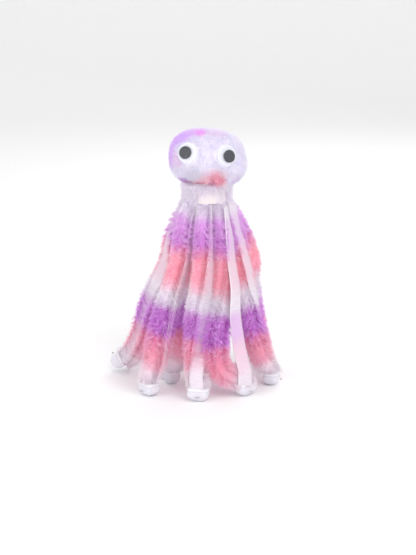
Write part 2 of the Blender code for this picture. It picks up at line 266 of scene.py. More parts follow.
def makeToeLook():
    # A cloudy white weave, with a painted highlight on the folded lip and painted shade in the groove below
    # it.
    look = Look("foldedTape", Sheen_Weight=0.25)
    place = look.place()
    weave = look.threads(place, (2600.0, 2600.0, 900.0))
    cloudy = look.noise(place, 160.0, 3.0)
    colour = look.blend(look.ease(cloudy, 0.35, 0.7), srgb(218, 216, 226), srgb(228, 222, 232))
    # Painted highlight along the raised lip.
    colour = look.blend(look.attribute("lip"), colour, srgb(240, 238, 242))
    # Painted shade in the groove under the lip.
    colour = look.blend(look.attribute("hollow") * 0.35, colour, srgb(196, 190, 206))
    look.feed("Base Color", colour)
    look.feed("Roughness", 0.68 + 0.2 * weave)
    look.bump(weave, 0.35, 0.00012)
    return look


# Patches of dye on the head, and one of painted shade low on the left under the left eye: (centre from the
# head's middle in mm, radius in mm, strength, colour).
headPatches = {
    "leftRim": ((-27, -2, 3), 13, 0.9, (222, 186, 244)),
    "leftTop": ((-19, -4, 18), 13, 0.85, (226, 192, 248)),
    "topLeft": ((-8, -2, 21), 9, 0.6, (238, 206, 250)),
    "topSpot": ((-5, -8, 19), 5, 0.7, (250, 176, 248)),
    "topFaint": ((8, -6, 20), 9, 0.3, (246, 214, 244)),
    "leftCheek": ((-20, -14, 1), 7, 0.35, (240, 190, 232)),
    # Painted shade low on the left of the face, under the left eye.
    "paintedShadeLowLeft": ((-9, -18, -11), 10, 0.4, (196, 192, 202)),
    "neckSpot": ((-16, -12, -16), 6, 0.8, (186, 136, 206)),
    "coralWide": ((5, -19, -13), 11, 0.7, (246, 190, 202)),
    "coralLeft": ((-4, -17, -17), 7, 0.6, (246, 180, 192)),
    "coral": ((7, -20, -12), 6.5, 0.8, (238, 152, 174)),
    "rightJaw": ((19, -12, -14), 6, 0.35, (214, 186, 226)),
    "backRim": ((0, 22, 6), 20, 0.6, (226, 186, 244)),
}

whorlHeart = {"centre": (7, -20, -14), "radius": 7.5, "colour": (196, 70, 110)}


def makeHeadLook(middle):
    # White pile with a soft round patch for each dye spot and one of painted shade low on the left,
    # its edge broken up by noise and by strand. Painted shade also darkens the crease and the roots,
    # and a small emission glows in for light scattered in the pile.
    # The small emission is a painted glow that stands in for light scattering inside the pile.
    look = Look("whitePlush", Roughness=0.9, Emission_Strength=0.15, Specular_IOR_Level=0.1)
    place = look.place()

    def near(centre, radius):
        at = tuple(float(v) * mm for v in np.array(centre) + middle)
        return look.spot(place, at, radius * mm)

    hair = look.attribute("hair")
    wander = look.noise(place, 220.0, 3.0)
    colour = look.blend(look.ease(wander, 0.3, 0.7), srgb(232, 229, 245), srgb(242, 238, 247))
    colour = look.blend(look.ease(hair, 0.5, 1.0) * 0.35, colour, srgb(214, 208, 230))
    for centre, radius, strength, paint in headPatches.values():
        broken = near(centre, radius * 1.5) + 0.3 * (wander - 0.5) + 0.2 * (hair - 0.5)
        colour = look.blend(look.ease(broken, 0.1, 0.75) * strength, colour, srgb(*paint))
    heart = near(whorlHeart["centre"], whorlHeart["radius"])
    dark = look.ease(heart, 0.1, 0.6) * look.ease(hair, 0.6, 0.8)
    colour = look.blend(dark * 0.75, colour, srgb(*whorlHeart["colour"]))
    # Painted shade: a dark mauve line down in the crease under the face.
    colour = look.blend(look.attribute("crease") * 0.85, colour, srgb(186, 110, 166))
    # Painted shade down in the pile: the roots are drawn toward a greyer lilac.
    root = 1 - look.ease(look.attribute("tip"), 0.0, 0.6)
    colour = look.blend(root * 0.35, colour, srgb(224, 214, 234))
    look.feed("Base Color", colour)
    look.feed("Emission Color", colour)
    return look


def makeNeckLook():
    # Bare satin with threads round the neck.
    look = Look("neckSatin", Sheen_Weight=0.3, Coat_Weight=0.08)
    place = look.place()
    threads = look.threads(place, (500.0, 500.0, 2600.0))
    cloudy = look.noise(place, 130.0, 2.0)
    colour = look.blend(look.ease(cloudy, 0.35, 0.65), srgb(224, 214, 214), srgb(220, 208, 220))
    look.feed("Base Color", colour)
    look.feed("Roughness", 0.45 + 0.2 * threads)
    look.bump(threads, 0.3, 0.0001)
    return look


def makeEyeWhite():
    # White plastic with faint painted reflection rings of the dome's rim outside the pupil: the sine of 42
    # times the share of the radius.
    look = Look("eyeWhite", Roughness=0.32, Coat_Weight=0.3, Coat_Roughness=0.1)
    radial = look.attribute("radial")
    # Painted reflection rings of the dome's rim, darker and bluer than the white.
    rings = look.ease(radial.maths("SINE", radial * 42.0), 0.2, 1.0)
    rings = rings * look.ease(radial, 0.55, 0.75) * 0.4
    look.feed("Base Color", look.blend(rings, srgb(232, 232, 242), srgb(196, 198, 220)))
    return look


def makeEyeClear():
    # Nearly invisible plastic that shows by its gloss.
    clear = {"Roughness": 0.04, "Alpha": 0.035, "Base_Color": (0.6, 0.62, 0.7, 1.0), "IOR": 1.49}
    return Look("eyeClear", **clear)


def makePupilLook():
    # Black with a grey grain, glossier where the grain is high.
    look = Look("pupilBlack", Coat_Weight=0.1, Coat_Roughness=0.2)
    grain = look.noise(look.place(), 2600.0, 3.0)
    colour = look.blend(look.ease(grain, 0.42, 0.72), srgb(12, 14, 22), srgb(52, 54, 68))
    look.feed("Base Color", colour)
    look.feed("Roughness", 0.55 - 0.2 * grain)
    return look


def makeThreadLook():
    # Grey thread, mottled by its twist.
    look = Look("stitchThread", Roughness=0.7, Sheen_Weight=0.3)
    twist = look.ease(look.noise(look.place(), 1800.0), 0.3, 0.7)
    look.feed("Base Color", look.blend(twist, srgb(150, 140, 150), srgb(206, 196, 204)))
    return look


headMiddle = headAxis + np.array([0, 0, 168.5])
looks = {
    "plush": makePlush(),
    "ribbon": makeRibbonLook(),
    "toe": makeToeLook(),
    "head": makeHeadLook(headMiddle),
    "neck": makeNeckLook(),
    "eyeWhite": makeEyeWhite(),
    "eyeClear": makeEyeClear(),
    "pupil": makePupilLook(),
    "thread": makeThreadLook(),
}
print("materials are made")


# Meshes from whole arrays

def putMesh(name, points, faces, values, look):
    # points are rows of x, y, z in mm from the world's origin; faces are arrays with one face a row.
    mesh = bpy.data.meshes.new(name)
    sizes = np.concatenate([np.full(len(part), part.shape[1]) for part in faces])
    corners = np.concatenate([part.ravel() for part in faces])
    starts = np.concatenate([[0], np.cumsum(sizes)[:-1]])
    mesh.vertices.add(len(points))
    mesh.vertices.foreach_set("co", (points * mm).astype(np.float32).ravel())
    mesh.loops.add(len(corners))
    mesh.loops.foreach_set("vertex_index", corners.astype(np.int32))
    mesh.polygons.add(len(sizes))
    mesh.polygons.foreach_set("loop_start", starts.astype(np.int32))
    mesh.polygons.foreach_set("use_smooth", np.full(len(sizes), True))
    mesh.update(calc_edges=True)
    for key, value in values.items():
        mesh.attributes.new(key, "FLOAT", "POINT").data.foreach_set("value", value.astype(np.float32))
    mesh.materials.append(looks[look].material)
    obj = bpy.data.objects.new(name, mesh)
    bpy.context.scene.collection.objects.link(obj)
    return obj


def settle(piece, slotName, body, *nodes):
    # What a rigid piece stands for is hidden, and the piece rides on the body.
    # Its finish, slotName, is not used.
    if nodes:
        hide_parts(*nodes)
    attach(piece, body)


def ballGrid(rings, around, gap):
    # Angles up from the level, which stop short of the poles by the gap, and angles round.
    lift = np.linspace(-math.pi / 2 + gap, math.pi / 2 - gap, rings)[:, None]
    return lift, (np.arange(around) * 2 * math.pi / around)[None]


def rows(items, key, kind=np.float32):
    # One value of every item as an array, three to a row.
    values = np.zeros(len(items) * 3, kind)
    items.foreach_get(key, values)
    return values.reshape(-1, 3)


def tubeFaces(rings, around):
    # Quads between neighbouring rings of a closed profile, and a fan from a centre point at each end.
    ring, step = np.meshgrid(np.arange(rings - 1), np.arange(around), indexing="ij")
    following = (step + 1) % around
    sides = np.stack([ring * around + step, ring * around + following,
                      (ring + 1) * around + following, (ring + 1) * around + step], -1).reshape(-1, 4)
    turn = np.arange(around)
    onward = (turn + 1) % around
    first = np.full(around, rings * around)
    last = first + 1
    base = (rings - 1) * around
    firstCap = np.stack([first, onward, turn], 1)
    lastCap = np.stack([last, base + turn, base + onward], 1)
    return [sides, np.concatenate([firstCap, lastCap])]


def closeTube(rings):
    # Rings of points, then the middle of the first ring and of the last.
    return np.concatenate([rings.reshape(-1, 3), rings[0].mean(0)[None], rings[-1].mean(0)[None]])


def ringValues(values, around):
    # One value for each ring, repeated round it, then for the two end points.
    return np.concatenate([np.repeat(values, around), values[:1], values[-1:]])


def strandFaces(count, rings):
    # A three-sided spike of that many rings, its point last, with its root closed by one triangle.
    step = np.arange(3)
    following = (step + 1) % 3
    parts = [np.array([[2, 1, 0]])]
    for ring in range(rings - 1):
        a, b = ring * 3, ring * 3 + 3
        parts.append(np.stack([a + step, a + following, b + following], 1))
        parts.append(np.stack([a + step, b + following, b + step], 1))
    base = (rings - 1) * 3
    parts.append(np.stack([base + step, base + following, np.full(3, rings * 3)], 1))
    single = np.concatenate(parts)
    return (np.arange(count)[:, None, None] * (rings * 3 + 1) + single[None]).reshape(-1, 3)


def strandPoints(path, radius, shares):
    # path is strands x stops x 3. Each stop but the last gets a triangle of points across the strand,
    # whose radius falls with the share of the strand's length as 1 - share^1.6.
    heading = unit(path[:, -1] - path[:, 0])
    aside = unit(np.cross(heading, np.where(np.abs(heading[:, 2:3]) > 0.8, [[1.0, 0, 0]], [[0, 0, 1.0]])))
    other = np.cross(heading, aside)
    turn = np.arange(3) * 2 * math.pi / 3
    across = aside[:, None] * np.cos(turn)[None, :, None] + other[:, None] * np.sin(turn)[None, :, None]
    width = radius[:, None] * (1 - shares[:-1] ** 1.6)[None]
    rings = path[:, :-1, None] + across[:, None] * width[:, :, None, None]
    return np.concatenate([rings.reshape(len(path), -1, 3), path[:, -1:]], 1).reshape(-1, 3)


def strandSet(path, radius, shares, own):
    # The strands' points, faces and attributes: each strand's own values, and the share of its length.
    tip = np.concatenate([np.repeat(shares[:-1], 3), shares[-1:]])
    values = {key: np.repeat(value, len(tip)) for key, value in own.items()}
    values["tip"] = np.tile(tip, len(path))
    return strandPoints(path, radius, shares), [strandFaces(len(path), len(shares) - 1)], values


def joined(a, b):
    # Two sets of points, faces and attributes as one.
    points = np.concatenate([a[0], b[0]])
    faces = list(a[1]) + [part + len(a[0]) for part in b[1]]
    return points, faces, {key: np.concatenate([a[2][key], b[2][key]]) for key in a[2]}


# Legs. Route points are mm from the head's axis with the floor at 0; facing is the compass way the
# ribbon looks at the hip, the middle and the toe; cover is the stretch, as shares of the leg, where the
# pile closes over the ribbon; cord is the ribbon's own route where it leaves the leg; a kicked leg ends
# along its way, where the others end straight down.
legs = {
    "front": {
        "route": [(-1, -13, 138), (-1, -18, 120), (-1.5, -23, 100), (-4, -28, 80), (-6.3, -31, 60),
                  (-6.5, -32, 44), (-6.8, -35, 30), (-6.8, -41, 19), (-6, -46, 9.6)],
        "facing": (-8, -40, -105),
        "cover": (0.3, 0.62, 0.84, 0.92),
    },
    "front_right": {
        "route": [(8.5, -10, 138), (11.5, -14, 122), (13, -18, 104), (12.5, -21, 82), (9, -26, 62),
                  (6, -33.5, 44), (6, -38, 32), (9, -40, 22), (16, -38.5, 16), (23.5, -36, 13.5),
                  (27, -34, 9.6)],
        "facing": (-20, -45, -75),
        "cord": [(13.5, -15.5, 137), (15.5, -19.5, 120), (17.5, -22, 100), (20.5, -26, 77), (20.5, -29, 55),
                 (23.5, -32.5, 34), (27, -41.5, 21), (27.3, -42.3, 14), (27.2, -41.6, 8.5)],
    },
    "right": {
        "route": [(13, -1, 138), (17, -4, 121), (22, -8, 102), (28, -12, 75), (34, -13, 51), (38.5, -12, 27),
                  (44, -10.5, 15), (47, -10, 9.6)],
        "facing": (-42, -25, 40),
    },
    "back_right": {
        "route": [(10, 8.5, 138), (17, 11, 124), (25, 14.5, 106), (31.5, 18, 88), (30.5, 21, 68),
                  (33, 23, 42), (40, 25, 18), (42.5, 26, 9.6)],
        "facing": (120, 130, 150),
    },
    "back": {
        "route": [(1, 13, 138), (0, 17, 120), (0, 22, 97), (1, 26, 72), (3, 29, 48), (3, 33, 26), (4, 36, 14),
                  (4.5, 37, 9.6)],
        "facing": (165, 150, 120),
    },
    "back_left": {
        "route": [(-9, 9.5, 138), (-16, 10, 126), (-24, 10.5, 107), (-27.5, 12, 88), (-36, 13.5, 69),
                  (-43, 15.5, 49), (-48, 17, 31), (-56, 18.5, 15), (-63.5, 19.3, 9.8)],
        "facing": (165, 230, 215),
        "cover": (0.5, 0.6, 1.5, 2.0),
        "kicked": True,
    },
    "left": {
        "route": [(-13, 1, 138), (-16, 0, 122), (-17, -1, 100), (-17.5, -2, 75), (-17, -3, 51),
                  (-18.5, -5, 29), (-24.5, -7, 14), (-26.5, -7.5, 9.6)],
        "facing": (16, 24, 30),
    },
    "front_left": {
        "route": [(-10, -8.5, 138), (-14.5, -11, 122), (-18.5, -16, 97), (-26, -21.5, 72), (-32, -27, 50),
                  (-37, -31.5, 26), (-40.5, -33.5, 14), (-41.5, -34, 9.6)],
        "facing": (-25, -20, -10),
    },
}

pile = {
    "strands": 11300,
    "shares": np.array([0.0, 0.38, 0.74, 1.0]),  # the stops along a strand
    "radius": 0.21,
    "length": 5.8,
    "longer": 0.8,  # added from the middle of the leg down
    "uneven": (0.75, 1.12),
    "lean": 0.36,  # down the leg, as a share of the length
    "leanSpread": 0.16,
    "swirl": 0.35,
    "clump": 2.3,  # the cell whose strands draw to one tip
    "cells": 4096,
    "root": 0.6,  # below the roll's face
    "around": 28,
    "step": 1.1,
    "flat": 0.84,  # the face under the ribbon, as a share of the half width
    "under": 2.2,  # how far the skin stands up inside the pile
    "knee": 0.52,
    "kneeReach": 7.0,
}
ribbon = {
    "width": 10.0,
    "thick": 0.34,
    "bead": 0.3,  # half thickness at the edges
    "gap": 1.2,  # from the roll's flat face to the strip's middle
    "start": 1.0,
    "across": 10,
    "step": 1.2,
}


class Route:
    # A uniform Catmull-Rom curve through the points, its ends mirrored, read by distance along it.
    def __init__(self, points, facing, kicked):
        knots = np.array(points, float)
        knots = np.concatenate([[2 * knots[0] - knots[1]], knots, [2 * knots[-1] - knots[-2]]])
        t = np.arange(12)[:, None] / 12
        a, b, c, d = (knots[i:len(knots) - 3 + i][:, None] for i in range(4))
        curve = 0.5 * (2 * b + (c - a) * t + (2 * a - 5 * b + 4 * c - d) * t ** 2
                       + (3 * b - 3 * c + d - a) * t ** 3)
        self.points = np.concatenate([curve.reshape(-1, 3), knots[-2][None]]) + headAxis
        steps = np.linalg.norm(np.diff(self.points, axis=0), axis=1)
        self.marks = np.concatenate([[0], np.cumsum(steps)])
        self.length = self.marks[-1]
        self.facing = facing
        self.kicked = kicked

    def at(self, distance):
        # The point that far along.
        return np.stack([np.interp(distance, self.marks, self.points[:, i]) for i in range(3)], -1)

    def way(self, distance):
        # From 1.5 mm before to 1.5 mm after, turned to straight down within 5 mm of the hip and the toe.
        way = unit(self.at(distance + 1.5) - self.at(distance - 1.5))
        upright = 1 - smooth(distance, 0, 5)
        if not self.kicked:
            upright = upright + smooth(distance, self.length - 5, self.length)
        return unit(way * (1 - upright[..., None]) + down * upright[..., None])

    def axes(self, distance):
        # The ribbon's outward direction, square to the way; then the direction across the leg.
        way = self.way(distance)
        angle = np.radians(np.interp(distance / self.length, [0, 0.5, 1], self.facing))
        compass = np.stack([np.cos(angle), np.sin(angle), np.zeros_like(angle)], -1)
        outward = unit(compass - way * (compass * way).sum(-1, keepdims=True))
        return way, outward, np.cross(way, outward)


def pileHalf(share):
    # The roll's half width: 4.2 mm at the hip, 5.0 at 0.4 of the leg, 5.6 from 0.75 on.
    return 4.2 + 0.8 * np.clip(share / 0.4, 0, 1) + 0.6 * np.clip((share - 0.4) / 0.35, 0, 1)


def ripple(a, b, seed):
    # A slow wander from -1 to 1: five sine waves of different pitch over the two numbers.
    rng = np.random.default_rng(seed)
    waves = rng.uniform(-1, 1, (5, 2)) * 1.6
    phases = rng.uniform(0, 6.28, 5)
    return sum(np.sin(a * w[0] + b * w[1] + p) for w, p in zip(waves, phases)) / 2.6


def bentLeg(route, along, across, outward):
    # A point of the straight leg (along, across, outward) carried onto the bent route.
    way, face, side = route.axes(along)
    return route.at(along) + side * across[..., None] + face * outward[..., None]


def rollSkin(route, seed):
    # Rings of a round with a flat face under the ribbon, a little slack between rings.
    rings = int(route.length / pile["step"])
    along = np.linspace(0.2, route.length - 0.2, rings)
    angle = np.arange(pile["around"]) * 2 * math.pi / pile["around"]
    along, angle = np.meshgrid(along, angle, indexing="ij")
    side = 1 - smooth(np.sin(angle), 0.05, 0.55)
    ends = smooth(along, 0, 14) * (1 - 0.5 * smooth(along, route.length - 8, route.length))
    depth = pile["under"] * ends + 0.3 * ripple(along * 0.8, angle * 2, seed)
    half = pileHalf(along / route.length) - 0.35 + depth * side
    points = bentLeg(route, along, np.cos(angle) * half, np.minimum(np.sin(angle), pile["flat"]) * half)
    values = {
        "dye": ringValues(along[:, 0] * dye["toes"] / route.length, pile["around"]),
        # The skin takes a colour near the root colours: painted shade down in the pile.
        "tip": np.full(along.size + 2, 0.34),
        "hair": np.full(along.size + 2, 0.4),
    }
    return closeTube(points), tubeFaces(rings, pile["around"]), values


def within(value, stretches):
    # 1 inside each stretch (rises from, to, falls from, to) and 0 outside them.
    return sum(smooth(value, a, b) * (1 - smooth(value, c, d)) for a, b, c, d in stretches)


def strandTips(route, along, angle, half, rng, seed):
    # Where each strand's tip lies along and round the roll, and its height: it leans down the leg by a
    # share of its length, swirls aside, and is drawn towards the one tip of its cell.
    count = len(along)
    purple, pink = within(along, dye["purple"]), within(along, dye["pink"])
    size = (pile["length"] + pile["longer"] * smooth(along, 60, 90)) * (0.6 + 0.4 * smooth(along, 0, 20))
    size = size * (1 - 0.2 * smooth(along, route.length - 14, route.length - 2))
    size = size * (1 - 0.14 * pink) * rng.uniform(*pile["uneven"], count)
    lean = pile["lean"] + 0.45 * smooth(along, route.length - 9, route.length - 1)
    lean = lean + 0.14 * purple - 0.2 * pink + pile["leanSpread"] * rng.normal(size=count)
    swirl = 0.16 * rng.normal(size=count)
    swirl = swirl + pile["swirl"] * ripple(along * 0.22, angle, seed + 1) * (0.4 + 0.6 * purple)
    tipAlong = along + lean * size
    tipArc = angle * half + swirl * size
    cell = np.stack([np.floor(along / pile["clump"]), np.floor(angle * half / pile["clump"])], -1)
    key = (cell[:, 0] * 131 + cell[:, 1] * 17).astype(int) % pile["cells"]
    shift = rng.uniform(-0.4, 0.4, (pile["cells"], 4))[key]
    middle = (cell + 0.5 + shift[:, :2]) * pile["clump"]
    pull = 0.22 + 0.26 * purple + 0.10 * (1 - purple - pink)
    tipAlong = tipAlong * (1 - pull) + (middle[:, 0] + (0.45 + 1.1 * shift[:, 2]) * size) * pull
    tipArc = tipArc * (1 - pull) + (middle[:, 1] + 1.5 * shift[:, 3] * size) * pull
    return tipAlong, tipArc, size * (0.86 + 0.2 * shift[:, 3])


def laidOver(across, outward, angle, closed, plane, rng):
    # Strands from beside the ribbon rise past its edge and lie down across it, each to its own reach.
    count = len(angle)
    beside = (np.sin(angle) > 0.05) & (np.abs(np.cos(angle)) > 0.62) & (rng.random(count) < closed * 0.5)
    way = np.sign(np.cos(angle))
    reach = rng.uniform(-3.5, 4.0, count)
    laid = np.stack([across[:, 0], way * 5.7, way * (3.4 + reach * 0.4), way * reach], -1)
    raised = np.stack([outward[:, 0], plane * 0.95, plane + 0.75, plane + 0.7], -1)
    raised = raised + rng.uniform(0, 1.5, (count, 1)) * np.sin(pile["shares"] * 2.6)
    return np.where(beside[:, None], laid, across), np.where(beside[:, None], raised, outward)


def strands(route, cover, seed):
    # Roots wind round the roll by the golden share of a turn. From root to tip a strand goes sideways as
    # its share^1.5 and outwards as sin(share * 90 degrees)^0.9, and it stays low under the ribbon.
    rng = np.random.default_rng(seed)
    count = pile["strands"]
    order = np.arange(count)
    along = 0.6 + (order + rng.random(count)) / count * (route.length - 2.0)
    angle = (order * goldenShare % 1) * 2 * math.pi
    half = pileHalf(along / route.length)
    tipAlong, tipArc, height = strandTips(route, along, angle, half, rng, seed)
    shares = pile["shares"]
    course = shares ** 1.5
    stopAlong = along[:, None] + (tipAlong - along)[:, None] * course
    stopAngle = (angle * half)[:, None] + (tipArc - angle * half)[:, None] * course
    stopAngle = stopAngle / half[:, None]
    stopRise = -pile["root"] + (height[:, None] + pile["root"]) * np.sin(shares * math.pi / 2) ** 0.9
    across = np.cos(stopAngle) * (half[:, None] + stopRise)
    outward = np.minimum(np.sin(stopAngle), pile["flat"]) * half[:, None] + np.sin(stopAngle) * stopRise
    ceiling = half[:, None] * pile["flat"] + ribbon["gap"] - 0.62  # the ribbon's under side
    under = np.abs(across) < ribbon["width"] / 2 - 0.4
    outward = np.where(under, np.minimum(outward, ceiling), outward)
    if cover:
        closed = within(along / route.length, [cover])
        across, outward = laidOver(across, outward, angle, closed, (ceiling + 0.9)[:, 0], rng)
    path = bentLeg(route, np.minimum(stopAlong, route.length + 3.5), across, outward)
    radius = pile["radius"] * rng.uniform(0.75, 1.2, count) * (1 + 0.15 * within(along, dye["purple"]))
    hair = rng.random(count)
    wander = 1.6 * ripple(along * 0.3, angle * 1.5, seed + 2)
    mark = along * dye["toes"] / route.length + wander + rng.normal(size=count) * 1.1
    return strandSet(path, radius, shares, {"dye": mark, "hair": hair})


def ribbonSection():
    # Once round a flat strip: over its face, round the bead at one edge, back under, round the other.
    place = np.linspace(-1, 1, ribbon["across"])
    edge = smooth(np.abs(place), 0.8, 0.97)
    thick = ribbon["thick"] / 2 + (ribbon["bead"] - ribbon["thick"] / 2) * edge * 0.6
    over = np.stack([place, thick], -1)
    under = np.stack([place[::-1], -thick[::-1]], -1)
    return np.concatenate([under, over])


def makeRibbon(name, course, lift, seed):
    # The strip's section carried along its course and lifted off it, with a slow ripple along it and a
    # belly across it that grows as the square of the share from the middle.
    rings = int(course.length / ribbon["step"])
    along = np.linspace(ribbon["start"], course.length - 0.3, rings)
    share = along / course.length
    section = ribbonSection()
    around = len(section)
    half = ribbon["width"] / 2 * np.minimum(1, 0.65 + 2 * share)
    lift = lift(share) + 0.18 * ripple(along * 0.2, along * 0, seed) * smooth(along, 0, 12)
    belly = 0.35 * np.sin(along * 0.11 + seed)
    grid = np.repeat(along[:, None], around, 1)
    across = section[None, :, 0] * half[:, None]
    outward = lift[:, None] + section[None, :, 1] + belly[:, None] * (section[None, :, 0] ** 2 - 0.4)
    points = bentLeg(course, grid, across, outward)
    values = {
        "dye": ringValues(along * dye["toes"] / course.length, around),
        "across": np.concatenate([np.tile(section[:, 0], rings), [0, 0]]),
    }
    obj = putMesh(name, closeTube(points), tubeFaces(rings, around), values, "ribbon")
    layer = obj.data.uv_layers.new(name="cut")
    corner = np.zeros(len(obj.data.loops), np.int32)
    obj.data.loops.foreach_get("vertex_index", corner)
    sheetPlace = np.stack([values["across"] / 2 + 0.5, ringValues(along, around) / 10], -1)
    layer.data.foreach_set("uv", sheetPlace[corner].astype(np.float32).ravel())
    return obj


toe = {
    "half": (8.0, 5.8, 5.5),
    "taper": 0.24,  # how much narrower the sole is
    "edge": 0.5,
    "top": 0.35,
    "bottom": 0.8,  # these three are powers: 1 is round and near 0 is square
    "lip": (0.72, 0.5),  # height as a share of the half height, and mm thick
    "groove": (0.45, 0.4),
    "forward": 1.0,
    "drop": 4.1,
    "around": 72,
    "rings": 40,
}


def power(value, sharp):
    # The value's size to a power, with its own sign.
    return np.sign(value) * np.abs(value) ** sharp


def makeToe(name, leg, route, seed):
    # A cushion between a box and a ball: each of cos and sin is raised to a small power, so its upper
    # edge is square and its lower corners are round. A folded lip runs round it just under its top.
    fall = down
    if leg.get("kicked"):
        fall = unit(route.at(route.length) - route.at(route.length - 1.5))
    spread = unit((route.at(route.length) - route.at(0)) * np.array([1, 1, 0]))
    sideways = unit(np.cross(fall, spread))
    ahead = np.cross(sideways, fall)
    middle = route.at(route.length) + fall * toe["drop"] + ahead * toe["forward"]
    lift, turn = ballGrid(toe["rings"], toe["around"], 0.001)
    sharp = np.where(lift > 0, toe["top"], toe["bottom"])
    level = power(np.cos(lift), sharp)
    a, b, c = toe["half"]
    x = a * level * power(np.cos(turn), toe["edge"])
    y = b * level * power(np.sin(turn), toe["edge"])
    z = c * power(np.sin(lift), sharp) * np.ones_like(turn)
    lip, groove = (np.exp(-((z - share * c) / thick) ** 2) for share, thick in (toe["lip"], toe["groove"]))
    taper = 1 - toe["taper"] * smooth(-z, 0, c)
    x = x * taper
    y = y * taper
    swell = 1 + 0.03 * lip - 0.012 * groove + 0.045 * ripple(x * 0.35, z * 0.5 + y * 0.3, seed)
    x = x * swell
    y = y * swell
    # z is counted against the fall, so the block's top meets the leg.
    points = middle + x[..., None] * sideways + y[..., None] * ahead - z[..., None] * fall
    values = {
        # The lip's painted highlight and the groove's painted shade.
        "lip": np.concatenate([(lip * (level > 0.9)).ravel(), [0, 0]]) * 0.9,
        "hollow": np.concatenate([groove.ravel(), [0, 0]]),
    }
    return putMesh(name, closeTube(points), tubeFaces(toe["rings"], toe["around"]), values, "toe")


def onRoll(share):
    # A ribbon's height over the leg's own line: the flat face's height, and the gap.
    return pileHalf(share) * pile["flat"] + ribbon["gap"]


def makeLeg(name, leg, seed):
    # Plush and ribbon follow the leg's route; a stretch round its knee is worked out but nothing uses it. The
    # toe rides on the lower half.
    route = Route(leg["route"], leg["facing"], leg.get("kicked", False))
    upper, lower = f"{name}_leg_upper", f"{name}_leg_lower"
    mark = route.length * pile["knee"]
    joint, way = route.at(mark), route.way(np.array([mark]))[0]
    bend = ((joint - way * pile["kneeReach"]) * mm, (joint + way * pile["kneeReach"]) * mm)
    tuft = strands(route, leg.get("cover"), seed + 5)
    roll = putMesh(f"{name}_leg_plush", *joined(rollSkin(route, seed + 3), tuft), "plush")
    if "cord" in leg:
        cord = Route(leg["cord"], leg["facing"], False)
        strip = makeRibbon(f"{name}_leg_ribbon", cord, np.zeros_like, seed + 7)
    else:
        strip = makeRibbon(f"{name}_leg_ribbon", route, onRoll, seed + 7)
    for piece, part, slotName in ((roll, "pile", "long_pile"), (strip, "ribbon", "satin_ribbon")):
        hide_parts(f"{upper}_{part}", f"{lower}_{part}")
        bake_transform(piece)
    settle(makeToe(f"{name}_toe_fold", leg, route, seed + 9), "satin_ribbon", lower, f"{name}_toe")
    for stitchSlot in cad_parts[f"{name}_toe_stitch"].material_slots:
        stitchSlot.material = looks["thread"].material


for number, (name, leg) in enumerate(legs.items()):
    makeLeg(name, leg, number * 10)
print("legs are made")

# The head: a stuffed bag with a short pile.
head = {
    "half": (26.5, 24.5, 19.5),
    "square": 2.35,
    "around": 96,
    "rings": 64,
    "inset": 1.6,  # how much smaller the bag is than the half sizes
    "voxel": 2.4,
    "cap": 1.0,  # the most the stuffing may move the bag
    "frames": 20,
    "stuffing": {
        "use_pressure": True,
        "uniform_pressure_force": 1400.0,
        "mass": 0.01,
        "tension_stiffness": 4.0,
        "compression_stiffness": 4.0,
        "quality": 6,
    },
    "bulges": {  # direction, reach as a share of the half sizes, mm outwards
        "crown": ((-0.4, -0.1, 1.0), 0.55, 1.2),
        "rightJowl": ((0.95, -0.1, -0.45), 0.5, 1.6),
        "rightShoulder": ((0.85, 0, 0.8), 0.4, 0.6),
        "leftJaw": ((-0.9, -0.2, -0.75), 0.35, 1.6),
        "rightJaw": ((0.9, -0.2, -0.8), 0.4, 2.6),
        "leftTop": ((-0.85, 0, 0.75), 0.35, 1.4),
        "chin": ((0.2, -0.8, -0.6), 0.4, 1.4),
    },
    "strands": 17500,
    "shares": np.array([0.0, 0.6, 1.0]),
    "pileLength": 2.9,
    "radius": 0.2,
    "whorl": (7.0, -20.0, -13.5),
    "throat": 13.0,
}
eyes = {  # places and turns from the head's middle, in mm and degrees; pupil is its slide in the dome
    "left": {"side": -13.2, "up": 7.0, "turn": -20, "tilt": 17, "pupil": (-1.2, -0.1)},
    "right": {"side": 13.2, "up": 5.4, "turn": 28, "tilt": 14, "pupil": (1.1, -0.9)},
}


def eyePlace(eye):
    # The eye's seat, 1.2 mm off the plain cushion, with its across, up and outward directions.
    turn, tilt = math.radians(eye["turn"]), math.radians(eye["tilt"])
    outward = np.array([math.sin(turn) * math.cos(tilt), -math.cos(turn) * math.cos(tilt), math.sin(tilt)])
    across = np.array([math.cos(turn), math.sin(turn), 0.0])
    a, b, c = head["half"]
    rest = 1 - abs(eye["side"] / a) ** head["square"] - abs(eye["up"] / c) ** head["square"]
    seat = headMiddle + np.array([eye["side"], -b * rest ** (1 / head["square"]), eye["up"]]) + outward * 1.2
    return seat, across, np.cross(outward, across), outward


def headSkin():
    # A sphere whose x, y and z are divided by the squarish length (|x|^p + |y|^p + |z|^p)^(1/p), with
    # soft bulges and hollows, each a bell curve round its own direction.
    lift, turn = ballGrid(head["rings"], head["around"], 0.02)
    level = np.cos(lift)
    ball = np.stack([level * np.cos(turn), level * np.sin(turn), np.sin(lift) * np.ones_like(turn)], -1)
    size = (np.abs(ball) ** head["square"]).sum(-1, keepdims=True) ** (1 / head["square"])
    shape = ball / size * (np.array(head["half"]) - head["inset"])
    for direction, reach, amount in head["bulges"].values():
        close = ((ball - unit(np.array(direction))) ** 2).sum(-1, keepdims=True)
        shape = shape + ball * amount * np.exp(-close / (2 * reach ** 2))
    return closeTube(shape + headMiddle), tubeFaces(head["rings"], head["around"])


def applyModifier(obj, kind, **settings):
    # A new modifier with its settings, applied at once.
    made = obj.modifiers.new("step", kind)
    for key, value in settings.items():
        setattr(made, key, value)
    bpy.ops.object.modifier_apply(modifier=made.name)


